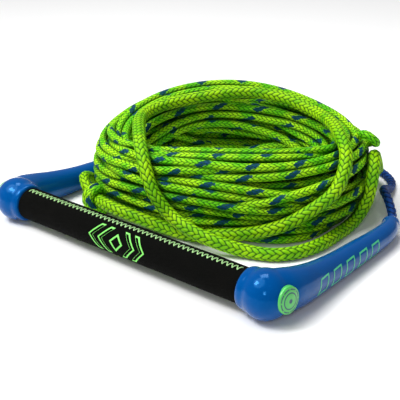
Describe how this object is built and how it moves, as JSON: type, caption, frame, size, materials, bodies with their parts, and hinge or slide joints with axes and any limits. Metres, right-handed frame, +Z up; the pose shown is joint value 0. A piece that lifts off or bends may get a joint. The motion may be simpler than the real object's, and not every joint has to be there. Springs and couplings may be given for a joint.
{
  "type": "tow rope handle",
  "caption": "Tow rope handle: padded bar between two moulded arms, with a rope bridle, a thick braided neck and a coiled tow line.",
  "frame": {"origin": "on the ground, under the middle of the handle's own box (bar, elbows and arms, without the ropes)", "axes": "+X along the bar to the right-hand end, +Y from the bar to the arms' tips, +Z up"},
  "size_m": [0.339, 0.3529, 0.104],
  "materials": {
    "aluminium_tube": "drawn",
    "sleeve_rubber": "foam",
    "neoprene": "knit-faced neoprene",
    "seam_thread": "thread",
    "print_green": "printed film",
    "white_nylon": "moulded",
    "arm_blue": "glossy moulded",
    "badge_green": "printed badge",
    "mark_green": "printed line",
    "bridle_blue": "braided rope",
    "neck_green": "hollow-braided rope",
    "line_green": "braided rope with blue tracer"
  },
  "bodies": {
    "rope": {"bridle_leg_left": "bridle_blue", "bridle_leg_right": "bridle_blue", "bridle_splice": "neck_green", "neck_rope": "neck_green", "neck_eye": "neck_green", "line_hitch": "line_green", "line_coil": "line_green", "tow_loop": "line_green"},
    "handle": {"bar_tube": "aluminium_tube", "grip_sleeve": "sleeve_rubber", "grip_cover": "neoprene", "grip_stitching": "seam_thread", "grip_print": "print_green", "end_plug_left": "white_nylon", "end_plug_right": "white_nylon", "rope_guide_left": "white_nylon", "rope_guide_right": "white_nylon", "arm_left": "arm_blue", "arm_right": "arm_blue", "arm_badge_left": "badge_green", "arm_badge_right": "badge_green", "arm_marks_left": "mark_green", "arm_marks_right": "mark_green", "bridle_core": "bridle_blue"}
  },
  "joints": [
    {"name": "handle_lift", "type": "hinge", "parent": "rope", "child": "handle", "pos_m": [0, 0.101, 0.012], "axis": [-1, 0, 0], "range_deg": [0, 90]}
  ]
}
